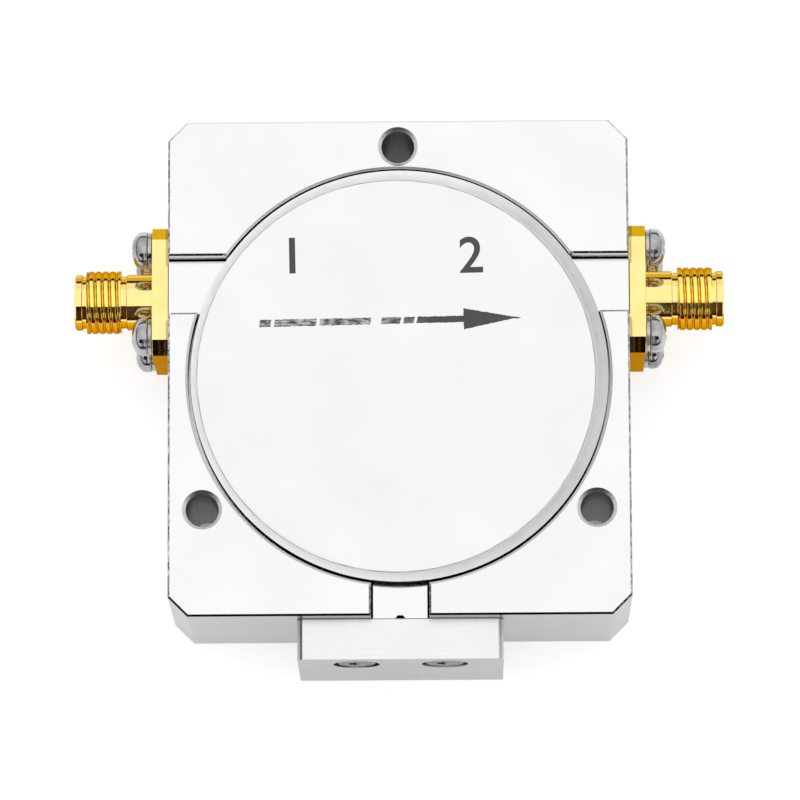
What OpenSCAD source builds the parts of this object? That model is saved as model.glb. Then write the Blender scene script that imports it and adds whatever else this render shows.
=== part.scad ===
// A two-port coaxial isolator: a machined block with a screwed lid over a ferrite junction,
// a threaded flange jack on each side and a load block on the front face.
// Millimetres. +Z is up and the load faces -Y.
// The origin is on the mounting face, under the middle of the lid.

/* [Housing] */
// Width of the housing between its two connector faces
body_w = 45; // [44.5:0.5:50]
// Length of the housing from the load face to the back face
body_l = 49; // [48.6:0.2:54]
// How far the middle of the housing lies behind the middle of the lid
body_shift = 0.9; // [0.7:0.1:1.5]
// Size of the flats on the four upright corners, along each side
corner_cut = 1.9; // [1:0.1:3]
// Bevel on the sharp outer edges
edge_break = 0.2; // [0.1:0.05:0.3]
// Thickness of the floor under the magnets
floor_t = 2; // [1.6:0.1:4]

/* [Mounting holes] */
// Diameter of the three through holes
mount_hole_d = 3.2; // [2.8:0.1:3.4]
// Bevel at both ends of each through hole
mount_hole_break = 0.35; // [0.1:0.05:0.4]
// Distance from the back face to the upper hole
upper_hole_inset = 2.6; // [2.3:0.1:2.7]
// Distance from each side face to the lower hole beside it
lower_hole_inset = 3.35; // [2.5:0.05:3.8]
// Distance from the front face to the two lower holes
lower_hole_rise = 10.45; // [8:0.05:10.6]

/* [Lid] */
// Diameter of the lid
lid_d = 40.8; // [39:0.2:41]
// Thickness of the lid
lid_t = 2; // [1.6:0.1:2.6]
// Width of the bevel round the top of the lid
lid_bevel_w = 1.05; // [0.4:0.05:1.6]
// Height of that bevel
lid_bevel_h = 0.25; // [0.1:0.05:0.8]
// Gap all round between the lid and its recess
lid_gap = 0.18; // [0.1:0.02:0.24]
// Bevel on the rim of the lid's recess
recess_break = 0.22; // [0.1:0.02:0.24]

/* [Junction] */
// Diameter of the cavity that holds the stack
cavity_d = 36; // [34.6:0.2:37]
// Gap all round between the cavity and the widest discs
stack_gap = 0.2; // [0.1:0.05:0.5]
// Diameter of the two magnets and their compensation discs
magnet_d = 34; // [28:0.5:34]
// Thickness of each magnet
magnet_t = 2.8; // [2.2:0.1:4]
// Thickness of each compensation disc
compensation_t = 0.6; // [0.3:0.1:1]
// Thickness of each pole piece
pole_t = 1.2; // [0.8:0.1:2]
// Diameter of the two ferrite discs
ferrite_d = 19; // [16:0.5:24]
// Thickness of each ferrite disc and of the ring round it
ferrite_t = 2.25; // [2.2:0.05:2.8]
// Gap between a ferrite disc and the ring round it
ring_gap = 0.1; // [0.05:0.05:0.3]
// Thickness of the centre conductor
strip_t = 0.3; // [0.2:0.05:0.4]
// Diameter of the conductor's hub
hub_d = 14; // [10:0.5:16]
// Width of the conductor's three arms
arm_w = 2.4; // [1.6:0.1:2.8]

/* [Line slots] */
// Width of the three slots at the top of the housing
slot_w = 5.65; // [5.5:0.05:6]
// Width of the channels that the arms run in, under the slots
channel_w = 4.6; // [4.2:0.1:4.8]
// Gap on each side of a slot cover
cover_gap = 0.2; // [0.1:0.05:0.3]
// Distance from the underside of the lid down to the covers and to the top of the load block
cover_drop = 0; // [0:0.05:0.6]
// Bevel on the upper edges of the slots
slot_break = 0.2; // [0.1:0.05:0.3]
// Distance of the connectors' axis behind the middle of the lid
port_y = 9.2; // [8.8:0.1:10]
// Width of the notch in the outer end of the front cover
notch_w = 1; // [0.6:0.1:1.6]
// Depth of that notch
notch_d = 0.3; // [0.2:0.05:0.5]

/* [Connector] */
// Width and height of the square flange
flange_w = 12.7; // [12.4:0.1:13]
// Thickness of the flange
flange_t = 1.7; // [1.4:0.1:2.2]
// Size of the flats on the flange's corners, along each side
flange_cut = 1.35; // [0.8:0.05:1.6]
// Distance between neighbouring flange holes
flange_pitch = 8.64; // [8.5:0.02:8.8]
// Diameter of the plain barrel and of the land at its open end
barrel_d = 5.5; // [5.3:0.05:5.7]
// Length of the plain barrel next to the flange
shank_l = 2.7; // [2.4:0.1:4]
// Diameter over the thread
thread_d = 6.2; // [6.18:0.01:6.32]
// Length of the thread
thread_l = 3.4; // [2.5:0.1:5]
// Diameter of the two run-out grooves
groove_d = 5.15; // [5.1:0.05:5.25]
// Length of the groove on the flange side of the thread
inner_groove_l = 0.55; // [0.3:0.05:0.8]
// Length of the groove on the open side of the thread
outer_groove_l = 0.4; // [0.3:0.05:0.6]
// Length of the land at the open end
end_land_l = 0.75; // [0.5:0.05:1.2]
// Bevel on the open end
end_break = 0.15; // [0.05:0.05:0.2]
// Diameter of the mouth
mouth_d = 4.6; // [4.5:0.02:4.7]
// Depth from the open end to the insulator
mouth_l = 1.9; // [1.7:0.05:2.1]
// Diameter of the insulator
insulator_d = 4.1; // [3.9:0.05:4.2]
// Diameter of the centre contact
contact_d = 1.27; // [1.2:0.01:1.4]
// Diameter of the collar that keeps the contact in its insulator
collar_d = 2; // [1.7:0.1:2.4]
// Length of that collar
collar_l = 1.2; // [0.8:0.1:2]
// Diameter of the contact's socket
socket_d = 0.94; // [0.92:0.01:0.98]
// Depth of the socket
socket_l = 2.4; // [2:0.1:3]
// Width of the two crossed slits that make the socket springy
slit_w = 0.16; // [0.1:0.02:0.2]
// Reach of the contact's forked tail into the housing
tail_l = 2.2; // [1.6:0.1:3]
// Length of the tail's root that the fork leaves whole
tail_root_l = 0.4; // [0.3:0.05:0.6]
// Gap all round between each turned piece and the bore it sits in
turned_gap = 0.02; // [0.01:0.01:0.03]

/* [Screws] */
// Diameter of every screw's shank
screw_d = 1.9; // [1.7:0.05:1.95]
// Gap all round between a screw and its tapped hole
tap_gap = 0.05; // [0.03:0.01:0.07]
// Gap all round between a screw and the piece it clamps
clear_gap = 0.15; // [0.1:0.05:0.2]
// Spare depth of a tapped hole beyond the screw's tip
tap_spare = 0.4; // [0.2:0.1:0.5]
// Length of a flange screw under its head
flange_screw_l = 6; // [4.5:0.1:6]
// Diameter of a flange screw's rounded head
pan_d = 3.7; // [3.4:0.1:4]
// Height of that head
pan_h = 1.6; // [1.3:0.1:1.7]
// Rounding of that head's upper edge
pan_round = 0.85; // [0.4:0.05:1]
// Diameter of a spring washer
washer_d = 3.5; // [3.2:0.1:3.8]
// Thickness of a spring washer
washer_t = 0.45; // [0.3:0.05:0.6]
// Width of the split in a spring washer
split_w = 0.35; // [0.2:0.05:0.5]
// Width of each wing of the cross recess
recess_w = 0.5; // [0.4:0.05:0.6]
// Span of the cross recess
recess_span = 2; // [1.6:0.1:2.2]
// Depth of the cross recess
recess_l = 0.9; // [0.6:0.05:1]

/* [Load] */
// Width of the load block
block_w = 20; // [18:0.5:24]
// Depth of the load block, out from the front face
block_d = 4; // [3.8:0.1:6]
// Height of the load block
block_h = 14.4; // [12:0.1:15]
// Bevel on the two upper end edges of the block
block_bevel = 0.5; // [0.2:0.05:0.8]
// Distance between the two load screws
load_pitch = 8.6; // [8.4:0.1:10]
// Distance from the top of the block down to its screws
load_screw_drop = 3.4; // [2.6:0.05:3.7]
// Diameter of a load screw's round head
round_head_d = 3.8; // [3.4:0.1:4]
// Height of that head
round_head_h = 2; // [1.6:0.1:2.1]
// Size of the hexagon socket across its flats
hex_af = 1.5; // [1.3:0.1:1.8]
// Depth of the hexagon socket
hex_l = 1; // [0.7:0.1:1.2]
// Turn of the hexagon socket: none leaves a flat at the bottom, 30 degrees a corner
hex_turn = 30; // [0:5:30]
// Gap all round between that head and its counterbore
round_head_gap = 0.35; // [0.2:0.05:0.4]
// Depth of that head below the front of the block
round_head_sink = 0.15; // [0.1:0.05:0.4]
// Length of a load screw under its head
load_screw_l = 5; // [4:0.1:6]
// Width of the load's ceramic base
base_w = 7; // [6:0.1:7.4]
// Height of the load's ceramic base
base_h = 4.3; // [3.6:0.1:4.4]
// Thickness of the load's ceramic base
base_t = 0.8; // [0.6:0.05:0.85]
// Gap on each side between that base and its pocket
pocket_gap = 0.3; // [0.1:0.05:0.4]
// Distance of that base's middle below the connectors' axis
base_drop = 0.55; // [0.3:0.05:0.6]
// Gap between the conductor's front arm and the load block
arm_end_gap = 0.4; // [0.2:0.05:0.8]
// Thickness of the metal tab
tab_t = 0.2; // [0.1:0.05:0.3]
// Width of the metal tab
tab_w = 1.5; // [1:0.1:2]
// Length of the tab that lies on the conductor
tab_lap = 1.2; // [0.8:0.1:2]
// Thickness of the load's ceramic cap
cap_t = 0.35; // [0.2:0.05:0.35]
// Width of the load's ceramic cap
cap_w = 5.2; // [4:0.1:6]
// Air between that cap and the plane of the front face
cap_air = 0.05; // [0.02:0.01:0.1]

/* [Hidden] */
$fn = 96;
// How far a cut runs past the face it opens
past = 1;

// The two sides that carry a connector
left = -1;
right = 1;

// Levels of the stack, from the floor up
lower_magnet_z = floor_t;
lower_compensation_z = lower_magnet_z + magnet_t;
lower_pole_z = lower_compensation_z + compensation_t;
lower_ferrite_z = lower_pole_z + pole_t;
strip_z = lower_ferrite_z + ferrite_t;
upper_ferrite_z = strip_z + strip_t;
upper_pole_z = upper_ferrite_z + ferrite_t;
upper_compensation_z = upper_pole_z + pole_t;
upper_magnet_z = upper_compensation_z + compensation_t;
lid_z = upper_magnet_z + magnet_t;
body_h = lid_z + lid_t;
axis_z = strip_z + strip_t / 2;

// Faces of the housing
front_y = body_shift - body_l / 2;
back_y = body_shift + body_l / 2;
side_x = body_w / 2;
cover_z = lid_z - cover_drop;
stack_d = cavity_d - 2 * stack_gap;
housing_plan = cut_rectangle(-side_x, front_y, side_x, back_y, corner_cut);

// Places of the through holes
mount_holes = [[0, back_y - upper_hole_inset],
    [lower_hole_inset - side_x, front_y + lower_hole_rise],
    [side_x - lower_hole_inset, front_y + lower_hole_rise]];

// Levels of a connector, out from the side face
washer_z = flange_t;
pan_z = washer_z + washer_t;
inner_groove_z = flange_t + shank_l;
thread_z = inner_groove_z + inner_groove_l;
outer_groove_z = thread_z + thread_l;
end_land_z = outer_groove_z + outer_groove_l;
open_end_z = end_land_z + end_land_l;
insulator_l = open_end_z - mouth_l;
collar_z = (insulator_l - collar_l) / 2;
fork_l = tail_l - tail_root_l;
// Turn of each flange screw and its washer, as they were left when tightened
screw_turns = [20, 115, 205, 290];

// The load, out from the front face
block_z = cover_z - block_h;
load_screw_z = cover_z - load_screw_drop;
round_head_z = block_d - round_head_sink - round_head_h;
pocket_l = base_t + cap_t + cap_air;
base_z = axis_z - base_drop - base_h / 2;
conductor_end_y = front_y + arm_end_gap;

// Corner points of a rectangle with its four corners cut off
function cut_rectangle(x0, y0, x1, y1, cut) = [
    [x0 + cut, y0], [x1 - cut, y0], [x1, y0 + cut], [x1, y1 - cut],
    [x1 - cut, y1], [x0 + cut, y1], [x0, y1 - cut], [x0, y0 + cut]];

// Puts a piece on a side face, with its own +Z pointing out of that face along the port's axis
module on_side(side) {
    translate([side * side_x, port_y, axis_z])
        rotate([0, side * 90, 0])
            children();
}

// Puts a piece on the front face: its +Z points out of that face and its +Y points up
module on_front() {
    translate([0, front_y, 0])
        rotate([90, 0, 0])
            children();
}

// Repeats a piece at the four flange holes
module at_flange_holes() {
    for (i = [0:3])
        rotate([0, 0, 45 + 90 * i])
            translate([flange_pitch / sqrt(2), 0, 0])
                rotate([0, 0, screw_turns[i]])
                    children();
}

// Repeats a piece at the two load screws
module at_load_screws() {
    for (side = [left, right])
        translate([side * load_pitch / 2, load_screw_z, 0])
            children();
}

// Wedge that bevels the straight upper edge from start to end; the block lies on the left of it
module edge_wedge(start, end, top, bevel) {
    run = end - start;
    translate([start.x, start.y, top])
        rotate([0, 0, atan2(run.y, run.x)])
            translate([-past, 0, 0])
                rotate([90, 0, 90])
                    linear_extrude(norm(run) + 2 * past)
                        polygon([[-past, past], [-past, -bevel - past], [0, -bevel], [bevel, 0], [bevel, past]]);
}

// One wedge along each upper edge of an upright block with this plan
module edge_wedges(plan, top, bevel) {
    for (i = [0:len(plan) - 1])
        edge_wedge(plan[i], plan[(i + 1) % len(plan)], top, bevel);
}

// Round hole with a bevel at its upper end; its top lies at z = 0 and it runs down
module bevelled_hole(d, depth, bevel) {
    translate([0, 0, -depth])
        cylinder(d = d, h = depth + past);
    translate([0, 0, -bevel])
        cylinder(d1 = d, d2 = d + 2 * (bevel + past), h = bevel + past);
}

// Section of a slot, wide above its ledges and narrow below, with bevelled upper edges
module slot_section() {
    channel_top = upper_pole_z;
    translate([-channel_w / 2, lower_ferrite_z])
        square([channel_w, channel_top - lower_ferrite_z + past]);
    translate([-slot_w / 2, channel_top])
        square([slot_w, body_h - channel_top + past]);
    polygon([[-slot_w / 2, body_h - slot_break], [slot_w / 2, body_h - slot_break],
        [slot_w / 2 + slot_break + past, body_h + past], [-slot_w / 2 - slot_break - past, body_h + past]]);
}

// Slot from the middle of the cavity out through a side face
module side_slot(side) {
    translate([0, port_y, 0])
        rotate([90, 0, side * 90])
            linear_extrude(side_x + past)
                slot_section();
}

// Slot from the middle of the cavity out through the front face
module front_slot() {
    rotate([90, 0, 0])
        linear_extrude(past - front_y)
            slot_section();
}

// The block with its cavity, lid recess, slots and screw holes
module housing() {
    tapped_d = screw_d + 2 * tap_gap;
    recess_d = lid_d + 2 * lid_gap;
    color("gainsboro")
        difference() {
            linear_extrude(body_h)
                polygon(housing_plan);
            edge_wedges(housing_plan, body_h, edge_break);
            translate([0, 0, body_h])
                mirror([0, 0, 1])
                    edge_wedges(housing_plan, body_h, edge_break);
            translate([0, 0, floor_t])
                cylinder(d = cavity_d, h = body_h);
            translate([0, 0, body_h])
                bevelled_hole(recess_d, lid_t, recess_break);
            side_slot(left);
            side_slot(right);
            front_slot();
            for (place = mount_holes)
                translate([place.x, place.y, body_h]) {
                    bevelled_hole(mount_hole_d, body_h + past, mount_hole_break);
                    translate([0, 0, -body_h])
                        mirror([0, 0, 1])
                            bevelled_hole(mount_hole_d, past, mount_hole_break);
                }
            for (side = [left, right])
                on_side(side)
                    at_flange_holes()
                        translate([0, 0, pan_z - flange_screw_l - tap_spare])
                            cylinder(d = tapped_d, h = body_w / 2);
            on_front()
                at_load_screws()
                    translate([0, 0, round_head_z - load_screw_l - tap_spare])
                        cylinder(d = tapped_d, h = body_w / 2);
        }
}

// Round lid with a wide bevel, flush with the top of the housing
module lid() {
    color("whitesmoke")
        translate([0, 0, lid_z]) {
            cylinder(d = lid_d, h = lid_t - lid_bevel_h);
            translate([0, 0, lid_t - lid_bevel_h])
                cylinder(d1 = lid_d, d2 = lid_d - 2 * lid_bevel_w, h = lid_bevel_h);
        }
}

// Bar that closes a slot over its channel, resting on the slot's two ledges; it points along +X
module slot_cover(reach) {
    translate([0, -slot_w / 2 + cover_gap, upper_pole_z])
        cube([reach, slot_w - 2 * cover_gap, cover_z - upper_pole_z]);
}

// Slot cover beside a connector, hollowed at its inner end to the round of the cavity
module side_cover(side) {
    color("white")
        difference() {
            translate([0, port_y, 0])
                rotate([0, 0, side == left ? 180 : 0])
                    slot_cover(side_x);
            cylinder(d = cavity_d, h = body_h);
        }
}

// Slot cover above the load, with a small notch in its outer end
module slot_cover_front() {
    color("white")
        difference() {
            rotate([0, 0, -90])
                slot_cover(-front_y);
            cylinder(d = cavity_d, h = body_h);
            translate([0, front_y, upper_pole_z - past])
                linear_extrude(body_h)
                    polygon([[-notch_w / 2 - past, -past], [-notch_w / 2, 0], [-notch_w / 4, notch_d],
                        [notch_w / 4, notch_d], [notch_w / 2, 0], [notch_w / 2 + past, -past]]);
        }
}

// One disc of the stack
module disc(d, t, z) {
    translate([0, 0, z])
        cylinder(d = d, h = t);
}

// Ceramic magnet that biases the ferrite from one side
module magnet(z) {
    color("dimgray")
        disc(magnet_d, magnet_t, z);
}

// Thin alloy disc that holds the field steady as the temperature changes
module compensation_disc(z) {
    color("silver")
        disc(magnet_d, compensation_t, z);
}

// Steel plate that spreads the field and is the ground plane of the strip line
module pole_piece(z) {
    color("lightgray")
        disc(stack_d, pole_t, z);
}

// Ferrite disc on one side of the hub
module ferrite_disc(z) {
    color("darkslategray")
        disc(ferrite_d, ferrite_t, z);
}

// Ceramic ring that fills the cavity round a ferrite disc
module dielectric_ring(z) {
    color("ivory")
        difference() {
            disc(stack_d, ferrite_t, z);
            translate([0, 0, -past])
                disc(ferrite_d + 2 * ring_gap, ferrite_t + 2 * past, z);
        }
}

// Arm to a port: out at 30 degrees until it meets the port's axis, then straight out to the contact
module port_arm(side) {
    slope = 30;
    bend = [port_y / tan(slope), port_y];
    square_on = [-sin(slope), cos(slope)];
    mitre = (square_on + [0, 1]) / (1 + cos(slope)) * arm_w / 2;
    reach = side_x - tail_root_l;
    half = [[reach, port_y - arm_w / 2], [reach, port_y + arm_w / 2], bend + mitre,
        square_on * arm_w / 2, -square_on * arm_w / 2, bend - mitre];
    linear_extrude(strip_t)
        polygon([for (point = half) [side * point.x, point.y]]);
}

// Y-shaped strip that joins the two contacts and the load
module centre_conductor() {
    color("silver")
        translate([0, 0, strip_z]) {
            cylinder(d = hub_d, h = strip_t);
            port_arm(left);
            port_arm(right);
            translate([-arm_w / 2, conductor_end_y, 0])
                cube([arm_w, -conductor_end_y, strip_t]);
        }
}

// Outer conductor of a jack: flange and barrel turned and milled from one bar
module connector_shell(side) {
    hole_d = screw_d + 2 * clear_gap;
    color("gold")
        on_side(side)
            difference() {
                union() {
                    linear_extrude(flange_t)
                        polygon(cut_rectangle(-flange_w / 2, -flange_w / 2, flange_w / 2, flange_w / 2, flange_cut));
                    cylinder(d = groove_d, h = end_land_z);
                    cylinder(d = barrel_d, h = inner_groove_z);
                    translate([0, 0, thread_z])
                        cylinder(d = thread_d, h = thread_l);
                    translate([0, 0, end_land_z])
                        cylinder(d = barrel_d, h = end_land_l - end_break);
                    translate([0, 0, open_end_z - end_break])
                        cylinder(d1 = barrel_d, d2 = barrel_d - 2 * end_break, h = end_break);
                }
                translate([0, 0, -past])
                    cylinder(d = insulator_d + 2 * turned_gap, h = open_end_z + past);
                translate([0, 0, insulator_l])
                    cylinder(d = mouth_d, h = mouth_l + past);
                at_flange_holes()
                    translate([0, 0, -past])
                        cylinder(d = hole_d, h = flange_t + 2 * past);
            }
}

// Round insulator with a groove inside that traps the contact's collar
module connector_insulator(side) {
    color("white")
        on_side(side)
            difference() {
                cylinder(d = insulator_d, h = insulator_l);
                translate([0, 0, -past])
                    cylinder(d = contact_d + 2 * turned_gap, h = insulator_l + 2 * past);
                translate([0, 0, collar_z - turned_gap])
                    cylinder(d = collar_d + 2 * turned_gap, h = collar_l + 2 * turned_gap);
            }
}

// Centre contact: springy socket at the open end, forked tail that straddles the conductor
module contact(side) {
    fork_h = strip_t + 2 * turned_gap;
    color("goldenrod")
        on_side(side)
            difference() {
                union() {
                    translate([0, 0, -tail_l])
                        cylinder(d = contact_d, h = tail_l + insulator_l);
                    translate([0, 0, collar_z])
                        cylinder(d = collar_d, h = collar_l);
                }
                translate([0, 0, insulator_l - socket_l])
                    cylinder(d = socket_d, h = socket_l + past);
                for (turn = [45, 135])
                    rotate([0, 0, turn])
                        translate([-contact_d, -slit_w / 2, insulator_l - socket_l])
                            cube([2 * contact_d, slit_w, socket_l + past]);
                translate([-fork_h / 2, -contact_d, -tail_l - past])
                    cube([fork_h, 2 * contact_d, fork_l + turned_gap + past]);
            }
}

// Rounded screw head with a cross recess, on a plain shank; the seat of the head is at z = 0
module pan_screw() {
    corner = pan_d / 2 - pan_round;
    difference() {
        union() {
            rotate_extrude()
                polygon(concat([[0, 0], [pan_d / 2, 0]],
                    [for (turn = [0:15:90]) [corner + pan_round * cos(turn), pan_h - pan_round + pan_round * sin(turn)]],
                    [[0, pan_h]]));
            translate([0, 0, -flange_screw_l])
                cylinder(d = screw_d, h = flange_screw_l);
        }
        for (turn = [0, 90])
            rotate([0, 0, turn])
                translate([-recess_span / 2, -recess_w / 2, pan_h - recess_l])
                    cube([recess_span, recess_w, recess_l + past]);
    }
}

// The four screws of one flange
module flange_screws(side) {
    color("lightsteelblue")
        on_side(side)
            translate([0, 0, pan_z])
                at_flange_holes()
                    pan_screw();
}

// The four split washers of one flange
module spring_washers(side) {
    bore_d = screw_d + 2 * clear_gap;
    color("lightgray")
        on_side(side)
            translate([0, 0, washer_z])
                at_flange_holes()
                    difference() {
                        cylinder(d = washer_d, h = washer_t);
                        translate([0, 0, -past])
                            cylinder(d = bore_d, h = washer_t + 2 * past);
                        translate([0, -split_w / 2, -past])
                            cube([washer_d, split_w, washer_t + 2 * past]);
                    }
}

// Block on the front face, with two counterbored holes and a pocket for the load behind
module load_block() {
    outer_y = front_y - block_d;
    color("lightgray")
        difference() {
            translate([-block_w / 2, outer_y, block_z])
                cube([block_w, block_d, block_h]);
            edge_wedge([block_w / 2, outer_y], [block_w / 2, front_y], cover_z, block_bevel);
            edge_wedge([-block_w / 2, front_y], [-block_w / 2, outer_y], cover_z, block_bevel);
            on_front() {
                at_load_screws() {
                    translate([0, 0, -past])
                        cylinder(d = screw_d + 2 * clear_gap, h = block_d + 2 * past);
                    translate([0, 0, round_head_z])
                        cylinder(d = round_head_d + 2 * round_head_gap, h = block_d + past);
                }
                translate([-base_w / 2 - pocket_gap, base_z - pocket_gap, -past])
                    cube([base_w + 2 * pocket_gap, base_h + 2 * pocket_gap, pocket_l + past]);
            }
        }
}

// The two socket screws of the load block
module load_screws() {
    color("lightsteelblue")
        on_front()
            at_load_screws()
                translate([0, 0, round_head_z])
                    difference() {
                        union() {
                            cylinder(d = round_head_d, h = round_head_h);
                            translate([0, 0, -load_screw_l])
                                cylinder(d = screw_d, h = load_screw_l);
                        }
                        translate([0, 0, round_head_h - hex_l])
                            rotate([0, 0, hex_turn])
                                cylinder(d = hex_af / cos(30), h = hex_l + past, $fn = 6);
                    }
}

// Ceramic base of the load, flat on the floor of its pocket
module load_base() {
    color("white")
        on_front()
            translate([-base_w / 2, base_z, pocket_l - base_t])
                cube([base_w, base_h, base_t]);
}

// Ceramic cap over the lower part of the load's resistive film
module load_cap() {
    color("linen")
        on_front()
            translate([-cap_w / 2, base_z + pocket_gap, cap_air])
                cube([cap_w, strip_z - base_z - 2 * pocket_gap, cap_t]);
}

// Bent tab from the end of the conductor to the upper part of the film
module load_tab() {
    film_z = pocket_l - base_t;
    lap_z = -arm_end_gap - tab_lap;
    color("silver")
        on_front()
            translate([-tab_w / 2, upper_ferrite_z, 0]) {
                translate([0, 0, lap_z])
                    cube([tab_w, tab_t, film_z - lap_z]);
                translate([0, 0, film_z - tab_t])
                    cube([tab_w, base_z + base_h - upper_ferrite_z, tab_t]);
            }
}

housing();
lid();
side_cover(left);  // slot_cover_left
side_cover(right);  // slot_cover_right
slot_cover_front();
magnet(lower_magnet_z);  // magnet_lower
magnet(upper_magnet_z);  // magnet_upper
compensation_disc(lower_compensation_z);  // compensation_disc_lower
compensation_disc(upper_compensation_z);  // compensation_disc_upper
pole_piece(lower_pole_z);  // pole_piece_lower
pole_piece(upper_pole_z);  // pole_piece_upper
ferrite_disc(lower_ferrite_z);  // ferrite_disc_lower
ferrite_disc(upper_ferrite_z);  // ferrite_disc_upper
dielectric_ring(lower_ferrite_z);  // dielectric_ring_lower
dielectric_ring(upper_ferrite_z);  // dielectric_ring_upper
centre_conductor();
connector_shell(left);  // connector_shell_left
connector_shell(right);  // connector_shell_right
connector_insulator(left);  // connector_insulator_left
connector_insulator(right);  // connector_insulator_right
contact(left);  // contact_left
contact(right);  // contact_right
flange_screws(left);  // flange_screws_left
flange_screws(right);  // flange_screws_right
spring_washers(left);  // spring_washers_left
spring_washers(right);  // spring_washers_right
load_block();
load_screws();
load_base();
load_cap();
load_tab();
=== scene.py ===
# A coaxial isolator: satin nickel block, faced round lid, gold jacks and a brushed load block.
# Metres, +Z up to the lid, the load block on -Y, the two jacks on -X and +X.
import bmesh
import bpy
import math
import random
from mathutils import Matrix, Vector


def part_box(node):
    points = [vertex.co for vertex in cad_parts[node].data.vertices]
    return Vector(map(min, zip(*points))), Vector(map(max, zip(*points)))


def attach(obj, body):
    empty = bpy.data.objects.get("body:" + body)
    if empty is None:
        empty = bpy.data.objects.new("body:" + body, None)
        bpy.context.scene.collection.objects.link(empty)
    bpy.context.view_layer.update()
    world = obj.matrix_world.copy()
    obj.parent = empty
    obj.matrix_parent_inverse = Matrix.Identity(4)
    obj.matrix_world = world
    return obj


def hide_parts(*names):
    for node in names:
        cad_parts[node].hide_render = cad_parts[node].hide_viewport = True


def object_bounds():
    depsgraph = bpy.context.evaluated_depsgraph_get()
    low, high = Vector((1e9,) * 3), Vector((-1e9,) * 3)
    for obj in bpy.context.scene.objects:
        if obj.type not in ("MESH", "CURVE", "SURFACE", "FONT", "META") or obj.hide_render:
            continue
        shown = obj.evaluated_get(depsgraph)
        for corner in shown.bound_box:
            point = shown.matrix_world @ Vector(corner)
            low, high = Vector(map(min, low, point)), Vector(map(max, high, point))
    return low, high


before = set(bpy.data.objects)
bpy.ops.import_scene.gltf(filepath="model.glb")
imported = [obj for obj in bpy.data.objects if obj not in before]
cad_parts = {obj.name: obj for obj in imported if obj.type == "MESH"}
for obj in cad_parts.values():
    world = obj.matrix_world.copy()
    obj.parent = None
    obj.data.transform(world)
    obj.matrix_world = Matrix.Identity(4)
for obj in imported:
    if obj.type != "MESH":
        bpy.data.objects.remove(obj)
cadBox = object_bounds()
mm = 0.001
print("frame loaded:", len(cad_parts), "nodes")

# Edges of the parts that the finished pieces line up with
housingLow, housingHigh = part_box("housing")
lidLow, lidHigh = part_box("lid")
blockLow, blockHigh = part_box("load_block")
shellLow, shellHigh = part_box("connector_shell_right")
sideX = housingHigh.x
frontY = housingLow.y
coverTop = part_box("slot_cover_front")[1].z
portPlace = Vector((0, (shellLow.y + shellHigh.y) / 2, (shellLow.z + shellHigh.z) / 2))

noiseLow, noiseHigh = 0.3, 0.7  # noise mostly lies between these
slantedFace, uprightFace = (0.5, 0.9), (0, 0.3)  # how level a face is, from 0 upright to 1 flat
farOut = 1  # further than any point of the part
fineDetail = 4.0  # of noise in a fine grain

# Input and output sockets of a mix of colours and of a mix of numbers
mixSockets = {"RGBA": (6, 7, 2), "FLOAT": (2, 3, 0)}


def srgb(code):
    # hex sRGB to the linear colour that shaders take
    channels = [int(code[i:i + 2], 16) / 255 for i in (1, 3, 5)]
    return [c / 12.92 if c <= 0.04045 else ((c + 0.055) / 1.055) ** 2.4 for c in channels] + [1]


def addNode(tree, kind, inputs=(), **settings):
    # Adds a node with its settings and gives its outputs. Its inputs are links, values and hex
    # colours, by name or number, or a list of the first ones.
    node = tree.nodes.new(kind)
    for key, value in settings.items():
        setattr(node, key, value)
    for key, value in inputs.items() if isinstance(inputs, dict) else enumerate(inputs):
        if isinstance(value, bpy.types.NodeSocket):
            tree.links.new(value, node.inputs[key])
        else:
            node.inputs[key].default_value = srgb(value) if isinstance(value, str) else value
    return node.outputs


def emptyMaterial(name):
    material = bpy.data.materials.new(name)
    material.use_nodes = True
    material.node_tree.nodes.clear()
    return material, material.node_tree


def drawnOut(tree, width, length, along, detail=2.0):
    # noise of this width, and of this length along one axis: 0 for X, 1 for Y, 2 for Z
    scale = [1 / width] * 3
    scale[along] = 1 / length
    place = addNode(tree, "ShaderNodeTexCoord")["Object"]
    stretched = addNode(tree, "ShaderNodeMapping", {"Vector": place, "Scale": scale})[0]
    return addNode(tree, "ShaderNodeTexNoise", {"Vector": stretched, "Scale": 1.0, "Detail": detail})[0]


def turnedLines(tree, lineWidth, centre, spinAxis):
    # rings left by a lathe tool, seen on faces square to the axis and on rounds about it
    flat = [1.0, 1.0, 1.0]
    flat[spinAxis] = 0.0
    place = addNode(tree, "ShaderNodeTexCoord")["Object"]
    moved = addNode(tree, "ShaderNodeVectorMath", [place, centre], operation="SUBTRACT")[0]
    across = addNode(tree, "ShaderNodeVectorMath", [moved, flat], operation="MULTIPLY")[0]
    radius = addNode(tree, "ShaderNodeVectorMath", [across], operation="LENGTH")["Value"]
    height = addNode(tree, "ShaderNodeSeparateXYZ", [moved])[spinAxis]
    run = addNode(tree, "ShaderNodeMath", [radius, height], operation="ADD")[0]
    steps = addNode(tree, "ShaderNodeMath", [run, 1 / lineWidth], operation="MULTIPLY")[0]
    return addNode(tree, "ShaderNodeTexNoise", {
        "W": steps, "Scale": 1.0, "Detail": 1.0}, noise_dimensions="1D")[0]


def cloud(tree, size, detail=3.0):
    # soft unevenness in patches of this size
    place = addNode(tree, "ShaderNodeTexCoord")["Object"]
    return addNode(tree, "ShaderNodeTexNoise", {"Vector": place, "Scale": 1 / size, "Detail": detail})[0]


def zone(tree, *limits):
    # 1 where every value lies between its two limits, else 0
    share = None
    for value, low, high in limits:
        inside = addNode(tree, "ShaderNodeMath", [
            value, (low + high) / 2, (high - low) / 2], operation="COMPARE")[0]
        if share is not None:
            inside = addNode(tree, "ShaderNodeMath", [share, inside], operation="MULTIPLY")[0]
        share = inside
    return share


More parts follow.
